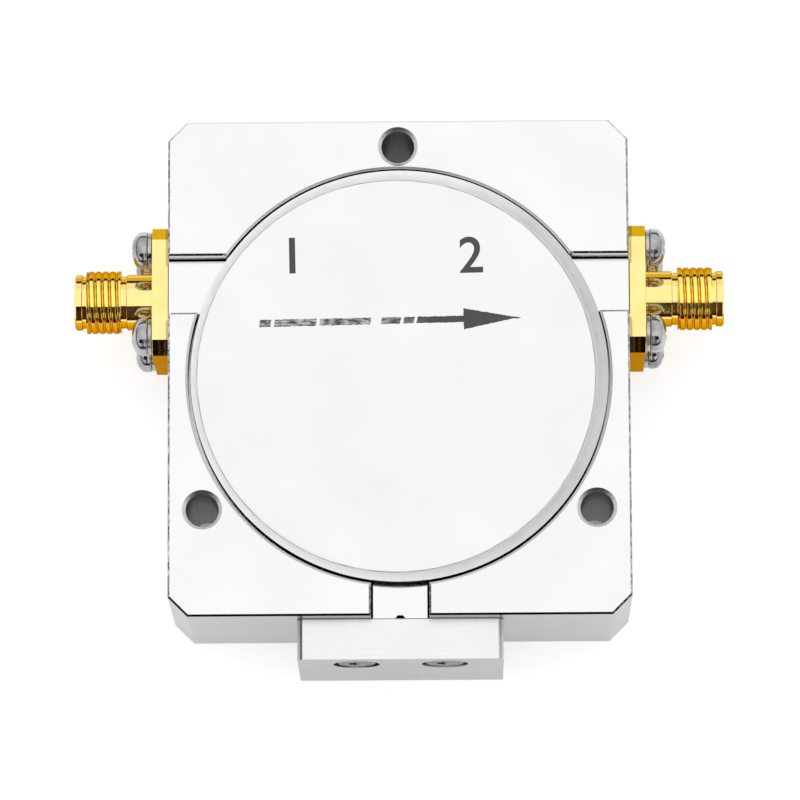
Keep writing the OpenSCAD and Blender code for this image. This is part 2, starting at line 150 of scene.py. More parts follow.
def layered(tree, base, layers, kind="RGBA"):
    # each layer covers what is under it where its share is 1
    first, second, result = mixSockets[kind]
    for share, over in layers:
        base = addNode(tree, "ShaderNodeMix", {0: share, first: base, second: over}, data_type=kind)[result]
    return base


def twoTone(tree, pattern, first, second, low=noiseLow, high=noiseHigh):
    # spreads a pattern over two colours
    share = addNode(tree, "ShaderNodeMapRange", [pattern, low, high])[0]
    return layered(tree, first, [(share, second)])


def shaded(material, size, tone, gloss, relief, colours=(), roughs=()):
    # Tone is the noise that spreads the two colours, and gloss the one that spreads the roughness.
    # Layers of other colours and roughness go over them. Relief is what the tool left.
    tree = material.node_tree
    colour = layered(tree, twoTone(tree, tone, *size["tones"], *size.get("spread", ())), colours)
    roughness = addNode(tree, "ShaderNodeMapRange", [gloss, noiseLow, noiseHigh, *size["sheen"]])[0]
    bump = addNode(tree, "ShaderNodeBump", {"Height": relief, "Distance": size["depth"], "Strength": 1.0})[0]
    shader = addNode(tree, "ShaderNodeBsdfPrincipled", {
        "Base Color": colour, "Metallic": 1.0, "Roughness": layered(tree, roughness, roughs, "FLOAT"),
        "Normal": bump, **size.get("shader", {})})[0]
    addNode(tree, "ShaderNodeOutputMaterial", [shader])
    return material


def radiusFrom(tree, x, y):
    # distance from an upright line through this point
    place = addNode(tree, "ShaderNodeTexCoord")["Object"]
    flat = addNode(tree, "ShaderNodeVectorMath", [place, (1, 1, 0)], operation="MULTIPLY")[0]
    return addNode(tree, "ShaderNodeVectorMath", [flat, (x, y, 0)], operation="DISTANCE")["Value"]


def surfacePlace(tree):
    # where a point lies and which way its face looks, each as X, Y and Z
    place = addNode(tree, "ShaderNodeTexCoord")["Object"]
    facing = addNode(tree, "ShaderNodeNewGeometry")["True Normal"]
    return [addNode(tree, "ShaderNodeSeparateXYZ", [value]) for value in (place, facing)]


# Nickel plate over a milled block: nearly white, satin, with a faint cutter grain. Its broken
# edges were filed by hand and shine uneven and sharp, and are painted darker in ragged lines as
# shade, less so where they face the back. The rims of the bores are painted pale as a highlight,
# and dark as shade where they face the front; the walls of the slots are smooth cuts. Down the
# bores the colour is painted light and shade: greyer at the mouth, lighter further in, and greyer
# all through the upper bore. The thread round the lid's recess and the narrow gaps beside the slot
# covers are painted near black as shade, and are dull.
nickelBlock = {
    "tones": ("#e8e8e9", "#e3e3e4"), "sheen": (0.18, 0.24), "shader": {"Specular Tint": "#cecece"},
    # painted shade: the broken edges are darker in ragged lines, lighter where they face the back
    "edge": ("#d2d2d3", "#9c9c9e"), "edgeSpread": (0.42, 0.6), "edgeSheen": (0.04, 0.16),
    "edgeBack": "#dadadb", "recessEdge": "#e2e2e2", "recessEdgeRough": 0.3,
    # painted highlight and shade on the bore rims, pale all round and dark where they face the front; then
    # painted light and shade down the bores
    "boreEdge": "#fafafa", "boreEdgeRough": 0.6, "boreBack": "#7c7c7c", "boreBackRough": 0.3,
    "boreMouth": "#949494", "boreDeep": "#e4e4e4", "upperBore": "#bcbcbc", "boreRough": 0.3,
    # near-black painted shade for the thread round the lid's recess and the gaps beside the slot covers
    "wall": "#ffffff", "wallRough": 0.05, "wallFootRough": 0.4, "gapShade": "#1c1c1d", "gapShadeRough": 0.6,
    "grain": (0.06 * mm, 3 * mm, 0), "depth": 0.00012 * mm,
    "patch": 9 * mm, "nick": 0.5 * mm, "nickDepth": 0.02 * mm,
    "boreRadius": 1.62 * mm, "boreRim": 2.1 * mm, "boreMouthDepth": 1.5 * mm, "boreFullDepth": 6 * mm,
    "boreBackStart": -0.25, "boreBackFull": -0.65,
    "boreCentres": [(0, 22.8 * mm), (-19.15 * mm, -13.15 * mm), (19.15 * mm, -13.15 * mm)],
    "threadRadius": 20.585 * mm, "threadReach": 0.06 * mm, "recessRim": 21 * mm,
    "slotHalf": 3 * mm, "margin": 0.05 * mm, "coverMargin": 0.02 * mm, "topMargin": 0.1 * mm,
    "wallFoot": 0.9 * mm,
}


def nickelPlatedMilledSteel():
    size = nickelBlock
    material, tree = emptyMaterial("nickelPlatedMilledSteel")
    grain = drawnOut(tree, *size["grain"])
    patches = cloud(tree, size["patch"])
    nicksAndEdgeShade = cloud(tree, size["nick"], fineDetail)
    place, facing = surfacePlace(tree)
    level = addNode(tree, "ShaderNodeMath", [facing[2]], operation="ABSOLUTE")[0]
    nearest, *others = [radiusFrom(tree, x, y) for x, y in size["boreCentres"]]
    for other in others:
        nearest = addNode(tree, "ShaderNodeMath", [nearest, other], operation="MINIMUM")[0]
    fromMiddle = radiusFrom(tree, 0, 0)

    # broken edges face half up or half down
    slanted, upright = (level, *slantedFace), (level, *uprightFace)
    beyondRecess = (fromMiddle, size["recessRim"], farOut)
    onEdge = zone(tree, slanted, (nearest, size["boreRim"], farOut), beyondRecess)
    onBoreEdge = zone(tree, slanted, (nearest, 0, size["boreRim"]))
    # the bore rims' painted dark shade grows towards the front
    towardsFront = addNode(tree, "ShaderNodeMapRange", [
        facing[1], size["boreBackStart"], size["boreBackFull"]])[0]
    thread, reach = size["threadRadius"], size["threadReach"]
    share = {
        "edgeBack": zone(tree, slanted, (facing[1], *slantedFace), beyondRecess),
        "boreEdge": onBoreEdge,
        "boreBack": addNode(tree, "ShaderNodeMath", [onBoreEdge, towardsFront], operation="MULTIPLY")[0],
        "recessEdge": zone(tree, slanted, (fromMiddle, 0, size["recessRim"])),
        "gapShade": zone(tree, upright, (fromMiddle, thread - reach, thread + reach)),
        "bore": zone(tree, (nearest, 0, size["boreRadius"])),
    }

    # the slots lie across the middle from side to side and from the front to the middle
    half, margin = size["slotHalf"], size["margin"]
    across = [(place[0], housingLow.x + margin, housingHigh.x - margin),
              (place[1], portPlace.y - half, portPlace.y + half)]
    slots = [across, [(place[0], -half, half), (place[1], frontY + margin, 0)]]
    belowCover = (place[2], margin, coverTop - size["coverMargin"])
    aboveCover = (place[2], coverTop, housingHigh.z - size["topMargin"])
    # the gaps beside the slot covers, darkened below with painted shade
    gaps = [zone(tree, *slot, belowCover) for slot in slots]
    walls = [zone(tree, upright, *slot, aboveCover) for slot in slots]
    wallFoot = zone(tree, upright, *across, (place[2], coverTop, coverTop + size["wallFoot"]))

    # painted light and shade down the bores: greyer at the mouth, lighter further in, greyer all through the
    # upper bore
    shallow = addNode(tree, "ShaderNodeMapRange", [
        place[2], housingHigh.z - size["boreFullDepth"], housingHigh.z - size["boreMouthDepth"]])[0]
    bore = layered(tree, size["boreDeep"], [
        (shallow, size["boreMouth"]), (zone(tree, (place[1], 0, farOut)), size["upperBore"])])
    colours = [
        # the broken edges: painted shade, darker in ragged lines
        (onEdge, twoTone(tree, nicksAndEdgeShade, *size["edge"], *size["edgeSpread"])),
        *[(share[word], size[word]) for word in ("edgeBack", "boreEdge", "boreBack", "recessEdge", "gapShade")],
        *[(gap, size["gapShade"]) for gap in gaps], *[(wall, size["wall"]) for wall in walls],
        (share["bore"], bore)]
    worn = addNode(tree, "ShaderNodeMapRange", [nicksAndEdgeShade, noiseLow, noiseHigh, *size["edgeSheen"]])[0]
    roughs = [
        (onEdge, worn),
        *[(share[word], size[word + "Rough"]) for word in ("boreEdge", "boreBack", "recessEdge")],
        *[(wall, size["wallRough"]) for wall in walls], (wallFoot, size["wallFootRough"]),
        *[(share[word], size[word + "Rough"]) for word in ("bore", "gapShade")]]
    nicked = layered(tree, 0.0, [(onEdge, nicksAndEdgeShade)], "FLOAT")
    deepNicks = addNode(tree, "ShaderNodeMath", [
        nicked, size["nickDepth"] / size["depth"]], operation="MULTIPLY")[0]
    relief = addNode(tree, "ShaderNodeMath", [grain, deepNicks], operation="ADD")[0]
    return shaded(material, size, patches, patches, relief, colours, roughs)


# The lid: flat top, shallow bevel, and a fine thread round its side. It sits a little to the back
# right within the play of its thread. Crest and root are shares of the pitch, from a crest's middle.
lid = {
    "lean": Vector((0.05 * mm, 0.08 * mm, 0)), "bevelWidth": 1.05 * mm, "bevelHeight": 0.25 * mm,
    "edge": 0.05 * mm, "footBevel": 0.15 * mm, "threadMargin": 0.15 * mm, "pitch": 0.5 * mm,
    "ridges": 1 / (0.5 * mm), "starts": 1.0, "ridgeDepth": 0.22 * mm, "crest": 0.07, "root": 0.46,
    "runOut": 0.1 * mm, "skin": 0.05 * mm, "rowsPerPitch": 8, "steps": 288, "sharpAngle": 8,
}

# Nickel plate over a lid faced on a lathe: satin, with very fine rings. The bevel round its edge
# is painted greyer as shade, in a ring drawn a little off centre, most of all along its inner line
# and to the right. The thread on its side is painted near black as the shade in its gap, and is dull.
nickelLid = {
    # the bevel's colours are painted shade: greyer within, darker to the right and along its inner line; the
    # thread's is near-black painted shade in its gap
    "tones": ("#e6e6e7", "#e1e1e2"), "sheen": (0.18, 0.24), "rimInner": "#cacacc", "rimOuter": "#e2e2e4",
    "rimRight": "#9c9c9e", "rimSheen": (0.14, 0.22), "line": "#8c8c8e", "thread": "#161617",
    "threadRough": 0.6, "ringWidth": 0.08 * mm, "depth": 0.0003 * mm,
    "patch": 9 * mm, "blot": 2 * mm, "ragged": 0.3, "offCentre": -0.27 * mm,
    "flatRadius": 19.39 * mm, "rimRadius": 20.3 * mm, "lineWidth": 0.05 * mm, "threadTop": 0.06 * mm,
    "rightStart": 6 * mm, "rightShare": 0.5,
}


def nickelPlatedFacedSteel():
    size = nickelLid
    material, tree = emptyMaterial("nickelPlatedFacedSteel")
    rings = turnedLines(tree, size["ringWidth"], (0, 0, 0), 2)
    patches = cloud(tree, size["patch"])
    blots = cloud(tree, size["blot"], fineDetail)
    # the painted shade on the bevel is drawn round a point off centre
    radius = radiusFrom(tree, size["offCentre"], 0)
    place = surfacePlace(tree)[0]
    flat, line = size["flatRadius"], size["lineWidth"]
    onRim = zone(tree, (radius, flat, farOut))
    onLine = zone(tree, (radius, flat - line, flat + line))
    # the side thread, painted near black as the shade in the gap round the lid
    onThread = zone(tree, (place[2], 0, lidHigh.z - lid["bevelHeight"] - size["threadTop"]))
    across = addNode(tree, "ShaderNodeMapRange", [radius, flat, size["rimRadius"]])[0]
    ragged = addNode(tree, "ShaderNodeMapRange", [
        blots, noiseLow, noiseHigh, -size["ragged"], size["ragged"]])[0]
    uneven = addNode(tree, "ShaderNodeMath", [across, ragged], operation="ADD", use_clamp=True)[0]
    toRight = addNode(tree, "ShaderNodeMapRange", [
        place[0], size["rightStart"], lidHigh.x, 0.0, size["rightShare"]])[0]
    rim = layered(tree, size["rimInner"], [(uneven, size["rimOuter"]), (toRight, size["rimRight"])])
    rimSheen = addNode(tree, "ShaderNodeMapRange", [blots, noiseLow, noiseHigh, *size["rimSheen"]])[0]
    colours = [(onRim, rim), (onLine, twoTone(tree, blots, size["rimInner"], size["line"])),
               (onThread, size["thread"])]
    roughs = [(onRim, rimSheen), (onThread, size["threadRough"])]
    return shaded(material, size, patches, patches, rings, colours, roughs)


# The jack's shell: heights run out from the housing's side face. Its thread has 36 ridges to the
# inch and is drawn shallow, as it looks in the picture.
jack = {
    "flange": 12.7 * mm, "flangeThickness": 1.7 * mm, "flangeCorner": 1.35 * mm, "flangeEdge": 0.07 * mm,
    "holePitch": 8.64 * mm, "holeRadius": 1.1 * mm, "holeSteps": 48,
    "shankRadius": 2.75 * mm, "shankEnd": 4.4 * mm, "grooveRadius": 2.575 * mm,
    "threadStart": 4.95 * mm, "threadEnd": 8.35 * mm, "threadRadius": 3.1 * mm, "pitch": 25.4 / 36 * mm,
    "ridges": 1 / (25.4 / 36 * mm), "starts": 1.0, "ridgeDepth": 0.13 * mm, "crest": 0.25, "root": 0.45,
    "runOut": 0.12 * mm, "rowsPerPitch": 20, "steps": 96, "sharpAngle": 40,
    "landStart": 8.75 * mm, "openEnd": 9.5 * mm, "edge": 0.06 * mm, "endBevel": 0.15 * mm,
    "boreRadius": 2.07 * mm, "mouthRadius": 2.3 * mm, "mouthStart": 7.6 * mm,
}
flangeHoles = [(x, y, 0) for x in (-jack["holePitch"] / 2, jack["holePitch"] / 2)
               for y in (-jack["holePitch"] / 2, jack["holePitch"] / 2)]

# Bright gold over turned brass: a near mirror with rings round the barrel, cream where it is seen
# square on and deep orange at a slant. The thread is coloured orange all over, with a painted
# highlight of pale yellow on the crests that face up. Painted reflections make it amber on the
# flange's back slopes and on all that looks to the front.
goldPlate = {
    "tones": ("#ffe39a", "#fbdb8a"), "sheen": (0.04, 0.1), "shader": {"Specular Tint": "#ceae7c"},
    # the crests' pale yellow is a painted highlight; the amber of the back slopes and of the front is painted
    # reflection
    "thread": "#dca03c", "crests": "#fbe870", "backSlopes": "#cca228", "front": "#d99c1e",
    "patch": 2 * mm, "ringWidth": 0.07 * mm, "depth": 0.0003 * mm,
}


def goldPlatedTurnedBrass():
    size = goldPlate
    material, tree = emptyMaterial("goldPlatedTurnedBrass")
    rings = turnedLines(tree, size["ringWidth"], portPlace, 0)
    patches = cloud(tree, size["patch"])
    place, facing = surfacePlace(tree)
    out = addNode(tree, "ShaderNodeMath", [place[0]], operation="ABSOLUTE")[0]
    onThread = (out, sideX + jack["threadStart"], sideX + jack["threadEnd"])
    # where each tone lies: along the thread, and by the way a face looks for the painted highlight
    # and painted reflections
    limits = {
        "thread": [onThread], "crests": [onThread, (facing[0], -0.25, 0.25), (facing[2], 0.72, 1)],
        "backSlopes": [(facing[1], 0.6, 0.8), (facing[2], 0.6, 0.8)],
        "front": [(facing[1], -1, -0.5), (facing[2], -1, 0.55)],
    }
    colours = [(zone(tree, *limits[word]), size[word]) for word in limits]
    return shaded(material, size, patches, patches, rings, colours)


# Load screws of forged stainless steel, blasted dull, with one facet of the socket scuffed rough
# and painted white as a highlight: it looks this way across and up
blastedSteel = {
    "tones": ("#aaaaac", "#8c8c8e"), "sheen": (0.24, 0.34), "shader": {"Specular Tint": "#c8c8ca"},
    "dent": 0.3 * mm, "depth": 0.003 * mm,
    # the facet's white is a painted highlight
    "scuffedHighlight": "#ffffff", "scuffedRough": 0.7, "scuffedAcross": (-0.6, -0.4), "scuffedUp": (0.8, 0.95),
}


def socketScrewSteel():
    size = blastedSteel
    material, tree = emptyMaterial("socketScrewSteel")
    dents = cloud(tree, size["dent"], fineDetail)
    facing = surfacePlace(tree)[1]
    # the facet that is rough and painted white as a highlight
    scuffedHighlight = zone(tree, (facing[0], *size["scuffedAcross"]), (facing[2], *size["scuffedUp"]))
    return shaded(material, size, dents, dents, dents,
                  [(scuffedHighlight, size["scuffedHighlight"])], [(scuffedHighlight, size["scuffedRough"])])


# Load block of aluminium brushed with an abrasive pad: straight fine scratches, drawn twice as
# coarse to show, a dark hairline of painted shade in its joint with the housing, end bevels painted
# darker as shade, the left more than the right, and painted shade along the top of its front face
aluminiumBlock = {
    "tones": ("#e5e5e6", "#e0e0e0"), "sheen": (0.24, 0.32), "shader": {"Specular Tint": "#c8c8c8"},
    # painted shade: the end bevels, the joint with the housing and the top of the front face
    "leftCut": "#8c8c8e", "rightCut": "#b4b4b6", "joint": "#7c7c7e", "frontEdge": "#c2c2c4",
    "patch": 5 * mm, "scratches": (0.1 * mm, 6 * mm, 0), "depth": 0.0005 * mm,
    "leftCutStart": 0.24 * mm, "rightCutStart": 0.36 * mm, "rightCutEnd": 0.2 * mm,
    "jointWidth": 0.09 * mm, "frontEdgeWidth": 0.02 * mm, "frontEdgeHeight": 0.3 * mm,
}


def brushedAluminium():
    size = aluminiumBlock
    material, tree = emptyMaterial("brushedAluminium")
    lines = drawnOut(tree, *size["scratches"])
    patches = cloud(tree, size["patch"])
    place, facing = surfacePlace(tree)
    slanted = (addNode(tree, "ShaderNodeMath", [facing[2]], operation="ABSOLUTE")[0], *slantedFace)
    left, right = blockLow.x, blockHigh.x
    limits = {
        # end bevels painted darker as shade, the left more than the right
        "leftCut": [slanted, (place[0], left + size["leftCutStart"], 0)],
        "rightCut": [slanted, (place[0], right - size["rightCutStart"], right - size["rightCutEnd"])],
        # dark hairline of painted shade where the block meets the housing
        "joint": [(place[1], frontY - size["jointWidth"], 0)],
        # painted shade along the top of the front face
        "frontEdge": [(place[1], blockLow.y, blockLow.y + size["frontEdgeWidth"]),
                      (place[2], blockHigh.z - size["frontEdgeHeight"], farOut)],
    }
    colours = [(zone(tree, *limits[word]), size[word]) for word in limits]
    return shaded(material, size, lines, patches, lines, colours)


# Slot covers cut from milled strip: bright faint cutter lines on top, dull sawn sides painted dark
# as the shade in the narrow gaps beside them
milledStrip = {
    # the sides' near-black colour is painted shade
    "tones": ("#e7e7e8", "#e5e5e6"), "sheen": (0.1, 0.16), "sawnAndShaded": "#3c3c3e", "sawnRough": 0.5,
    "sawnUp": (-1, 0.5), "patch": 3 * mm, "lines": (0.1 * mm, 6 * mm), "depth": 0.0001 * mm,
}


def milledAluminium(name, along):
    size = milledStrip
    material, tree = emptyMaterial(name)
    lines = drawnOut(tree, *size["lines"], along)
    patches = cloud(tree, size["patch"])
    # the sawn sides, painted dark as shade
    sawnAndShaded = zone(tree, (surfacePlace(tree)[1][2], *size["sawnUp"]))
    return shaded(material, size, lines, patches, lines,
                  [(sawnAndShaded, size["sawnAndShaded"])], [(sawnAndShaded, size["sawnRough"])])


# Finishes that are the same all over: two tones, the sheen at both ends, the pattern of both, the
# depth of the relief, then what isn't metal, and a finer relief where there is one
groundGrain = (drawnOut, 0.08 * mm, 4 * mm, 0)
ceramic = (0.002 * mm, {"Metallic": 0.0, "IOR": 1.7})
plastic = {"Metallic": 0.0, "IOR": 1.35, "Subsurface Weight": 0.15, "Subsurface Scale": 0.3 * mm}
plainFinishes = {
    # cold-headed stainless steel, tumbled: a soft mirror, clouded and with small dents
    "stainlessScrewSteel": [("#c4c4c6", "#8e8e90"), (0.08, 0.22), (cloud, 1.2 * mm), 0.012 * mm, None,
                            (cloud, 0.5 * mm, fineDetail)],
    # zinc-plated spring wire, rolled flat: greyer and duller than the screws
    "platedSpringSteel": [("#c4c4c4", "#a4a4a4"), (0.22, 0.38), (cloud, 0.8 * mm), 0.001 * mm, None,
                          (cloud, 0.15 * mm)],
    # flat-ground soft iron alloys: fine straight grain, slightly grey
    "groundPoleSteel": [("#b4b4b6", "#a2a2a5"), (0.28, 0.42), groundGrain, 0.0008 * mm],
    "rolledNickelIron": [("#b0aea8", "#9e9c95"), (0.28, 0.42), groundGrain, 0.0008 * mm],
    # rolled copper strip under soft silver plate: warm white, faint rolling lines
    "silverPlatedCopper": [("#e8e4da", "#d8d2c4"), (0.15, 0.25), (drawnOut, 0.05 * mm, 2 * mm, 1),
                           0.0004 * mm],
    # thin gold over beryllium copper: warmer and slightly redder than the shells
    "goldPlatedContact": [("#fbd069", "#eebb52"), (0.12, 0.22), (cloud, 0.6 * mm), 0.0005 * mm],
    # fired and ground ceramics: dull, with the grain of the powder
    "groundFerriteMagnet": [("#3a3a3d", "#2b2b2e"), (0.52, 0.68), (cloud, 0.15 * mm, fineDetail), *ceramic],
    "lappedGarnetFerrite": [("#333437", "#26272a"), (0.27, 0.43), (cloud, 0.08 * mm, fineDetail), *ceramic],
    "dielectricCeramic": [("#ebe4d3", "#dfd6c2"), (0.47, 0.63), (cloud, 0.1 * mm, fineDetail), *ceramic],
    "firedAlumina": [("#f0f0ec", "#e4e4de"), (0.37, 0.53), (cloud, 0.08 * mm, fineDetail), *ceramic],
    # PTFE turned on a lathe: waxy white, a little light passes into it
    "turnedPtfe": [("#f2f2ee", "#e9e9e4"), (0.38, 0.5), (turnedLines, 0.08 * mm, portPlace, 0),
                   0.002 * mm, plastic],
}


def plainFinish(name, tones, sheen, pattern, depth, shader=None, relief=None):
    material, tree = emptyMaterial(name)
    size = {"tones": tones, "sheen": sheen, "depth": depth, "shader": shader or {}}
    tone = pattern[0](tree, *pattern[1:])
    height = relief[0](tree, *relief[1:]) if relief else tone
    return shaded(material, size, tone, tone, height)


plain = {name: plainFinish(name, *values) for name, values in plainFinishes.items()}
nickelPlate = nickelPlatedMilledSteel()
lidPlate = nickelPlatedFacedSteel()
gold = goldPlatedTurnedBrass()
screwSteel = plain["stainlessScrewSteel"]
socketSteel = socketScrewSteel()
washerSteel = plain["platedSpringSteel"]
print("materials made:", len(bpy.data.materials))

nodeFinishes = {
    "housing": nickelPlate, "lid": lidPlate, "load_block": brushedAluminium(), "load_screws": socketSteel,
    "slot_cover_front": milledAluminium("milledAluminiumAlong", 1),
    "centre_conductor": plain["silverPlatedCopper"], "load_tab": plain["silverPlatedCopper"],
    "load_base": plain["firedAlumina"], "load_cap": plain["firedAlumina"],
}
levelFinishes = {
    "magnet": plain["groundFerriteMagnet"], "compensation_disc": plain["rolledNickelIron"],
    "pole_piece": plain["groundPoleSteel"], "ferrite_disc": plain["lappedGarnetFerrite"],
    "dielectric_ring": plain["dielectricCeramic"],
}
sideFinishes = {
    "slot_cover": milledAluminium("milledAluminiumAcross", 0), "connector_insulator": plain["turnedPtfe"],
    "contact": plain["goldPlatedContact"], "connector_shell": gold,
    "flange_screws": screwSteel, "spring_washers": washerSteel,
}
for twins, words in ((levelFinishes, ("lower", "upper")), (sideFinishes, ("left", "right"))):
    for name, finish in twins.items():
        nodeFinishes.update({name + "_" + word: finish for word in words})
for name, finish in nodeFinishes.items():
    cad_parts[name].data.materials.clear()
    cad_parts[name].data.materials.append(finish)
print("nodes finished:", len(nodeFinishes))


def newTree(name, inputs):
    # a Geometry Nodes tree with these named inputs, each with its kind, besides geometry and material
    tree = bpy.data.node_groups.new(name, "GeometryNodeTree")
    tree.is_modifier = True
    tree.interface.new_socket("Geometry", in_out="OUTPUT", socket_type="NodeSocketGeometry")
    for socket, kind in {"Geometry": "Geometry", **inputs, "Material": "Material"}.items():
        tree.interface.new_socket(socket, in_out="INPUT", socket_type="NodeSocket" + kind)
    return tree, addNode(tree, "NodeGroupInput")


def endTree(tree, inside, geometry):
    solid = addNode(tree, "GeometryNodeRealizeInstances", [geometry])[0]
    painted = addNode(tree, "GeometryNodeSetMaterial", {"Geometry": solid, "Material": inside["Material"]})[0]
    addNode(tree, "NodeGroupOutput", [painted])
    return tree


def ridgeTree():
    # Pushes the outside of a turned piece inwards along a screw line: a thread, or with no lead a knurl
    names = ("Ridges per metre", "Starts", "Depth", "Crest", "Root", "From", "To", "Run-out", "Least radius")
    tree, inside = newTree("ridges", dict.fromkeys(names, "Float"))
    place = addNode(tree, "GeometryNodeInputPosition")[0]
    split = addNode(tree, "ShaderNodeSeparateXYZ", [place])
    turn = addNode(tree, "ShaderNodeMath", [split[1], split[0]], operation="ARCTAN2")[0]
    turns = addNode(tree, "ShaderNodeMath", [turn, math.tau], operation="DIVIDE")[0]
    around = addNode(tree, "ShaderNodeMath", [turns, inside["Starts"]], operation="MULTIPLY")[0]
    climb = addNode(tree, "ShaderNodeMath", [
        split[2], inside["Ridges per metre"]], operation="MULTIPLY")[0]
    phase = addNode(tree, "ShaderNodeMath", [climb, around], operation="SUBTRACT")[0]
    wave = addNode(tree, "ShaderNodeMath", [phase, 0.5], operation="PINGPONG")[0]
    # a flat crest, then straight flanks to a flat root, as a share of the depth downwards
    groove = addNode(tree, "ShaderNodeMapRange", [wave, inside["Crest"], inside["Root"], 0.0, -1.0])[0]
    startEnd = addNode(tree, "ShaderNodeMath", [inside["From"], inside["Run-out"]], operation="ADD")[0]
    stopStart = addNode(tree, "ShaderNodeMath", [inside["To"], inside["Run-out"]], operation="SUBTRACT")[0]
    rise = addNode(tree, "ShaderNodeMapRange", [split[2], inside["From"], startEnd])[0]
    fall = addNode(tree, "ShaderNodeMapRange", [split[2], stopStart, inside["To"], 1.0, 0.0])[0]
    ends = addNode(tree, "ShaderNodeMath", [rise, fall], operation="MULTIPLY")[0]
    flat = addNode(tree, "ShaderNodeVectorMath", [place, (1, 1, 0)], operation="MULTIPLY")[0]
    radius = addNode(tree, "ShaderNodeVectorMath", [flat], operation="LENGTH")["Value"]
    outward = addNode(tree, "ShaderNodeVectorMath", [flat], operation="NORMALIZE")[0]
    outside = addNode(tree, "ShaderNodeMath", [
        radius, inside["Least radius"]], operation="GREATER_THAN")[0]
    cut = addNode(tree, "ShaderNodeMath", [groove, ends], operation="MULTIPLY")[0]
    push = addNode(tree, "ShaderNodeMath", [cut, inside["Depth"]], operation="MULTIPLY")[0]
    offset = addNode(tree, "ShaderNodeVectorMath", {0: outward, "Scale": push}, operation="SCALE")[0]
    moved = addNode(tree, "GeometryNodeSetPosition", {
        "Geometry": inside["Geometry"], "Selection": outside, "Offset": offset})[0]
    return endTree(tree, inside, moved)


def setOfPiecesTree():
    # Puts one copy of a fastener on each point, each left at its own angle when it was tightened
    tree, inside = newTree("fastenerSet", {
        "Fastener": "Object", "Least turn": "Vector", "Greatest turn": "Vector", "Turn seed": "Int"})
    points = addNode(tree, "GeometryNodeMeshToPoints", {"Mesh": inside["Geometry"]})[0]
    one = addNode(tree, "GeometryNodeObjectInfo", {"Object": inside["Fastener"]})["Geometry"]
    turn = addNode(tree, "FunctionNodeRandomValue", {
        0: inside["Least turn"], 1: inside["Greatest turn"], "Seed": inside["Turn seed"]},
        data_type="FLOAT_VECTOR")[0]
    copies = addNode(tree, "GeometryNodeInstanceOnPoints", {
        "Points": points, "Instance": one, "Rotation": turn})[0]
    return endTree(tree, inside, copies)


def springWasherTree():
    # A flat wire wound into one turn, with its two ends left a little apart
    names = ("Mean radius", "Wire width", "Wire height", "Edge radius", "Rise", "Turns")
    tree, inside = newTree("springWasher", dict.fromkeys(names, "Float"))
    wind = addNode(tree, "GeometryNodeCurveSpiral", {
        "Resolution": 72, "Rotations": inside["Turns"], "Start Radius": inside["Mean radius"],
        "End Radius": inside["Mean radius"], "Height": inside["Rise"]})[0]
    upright = addNode(tree, "GeometryNodeSetCurveNormal", {"Curve": wind}, mode="Z_UP")[0]
    section = addNode(tree, "GeometryNodeCurvePrimitiveQuadrilateral", {
        "Width": inside["Wire width"], "Height": inside["Wire height"]})[0]
    rounded = addNode(tree, "GeometryNodeFilletCurve", {
        "Curve": section, "Count": 3, "Radius": inside["Edge radius"]}, mode="POLY")[0]
    wire = addNode(tree, "GeometryNodeCurveToMesh", {
        "Curve": upright, "Profile Curve": rounded, "Fill Caps": True})[0]
    return endTree(tree, inside, wire)


ridges = ridgeTree()
fastenerSet = setOfPiecesTree()
springWasher = springWasherTree()
print("node trees made:", len(bpy.data.node_groups))


def newPiece(name, data):
    piece = bpy.data.objects.new(name, data)
    bpy.context.scene.collection.objects.link(piece)
    return piece


def meshPiece(name, points, faces=()):
    mesh = bpy.data.meshes.new(name)
    mesh.from_pydata(points, [], faces)
    return newPiece(name, mesh)


def pieceFrom(name, shape, outward=True):
    # closes a shape, with its faces turned outwards, into a piece of its own
    if outward:
        bmesh.ops.recalc_face_normals(shape, faces=shape.faces)
    mesh = bpy.data.meshes.new(name)
    shape.to_mesh(mesh)
    shape.free()
    return newPiece(name, mesh)


def meshOf(piece):
    # the mesh that a curve, a text or a piece with modifiers comes to
    bpy.context.view_layer.update()
    return bpy.data.meshes.new_from_object(piece.evaluated_get(bpy.context.evaluated_depsgraph_get()))


def meshOfCurve(curve):
    holder = newPiece(curve.name + "Outline", curve)
    mesh = meshOf(holder)
    bpy.data.objects.remove(holder)
    return mesh


def flattened(piece):
    # replaces the piece's mesh with what its modifiers make of it
    mesh = meshOf(piece)
    piece.modifiers.clear()
    piece.data = mesh
    return piece


def grown(piece, tree, values):
    # runs a Geometry Nodes tree on the piece and keeps its result as a plain mesh
    modifier = piece.modifiers.new(tree.name, "NODES")
    modifier.node_group = tree
    for item in tree.interface.items_tree:
        if item.item_type == "SOCKET" and item.in_out == "INPUT" and item.name in values:
            modifier[item.identifier] = values[item.name]
    return flattened(piece)


def ridged(piece, size, low, high, leastRadius, material):
    # cuts the thread or knurl of these sizes into the outside of a piece
    return grown(piece, ridges, {
        "Ridges per metre": size["ridges"], "Starts": size["starts"], "Depth": size["ridgeDepth"],
        "Crest": size["crest"], "Root": size["root"], "From": low, "To": high, "Run-out": size["runOut"],
        "Least radius": leastRadius, "Material": material})


def threadRows(size, radius, low, high):
    # points up a thread, close enough to carry its ridges
    rows = round((high - low) / size["pitch"] * size["rowsPerPitch"])
    return [(radius, low + (high - low) * k / rows) for k in range(rows + 1)]


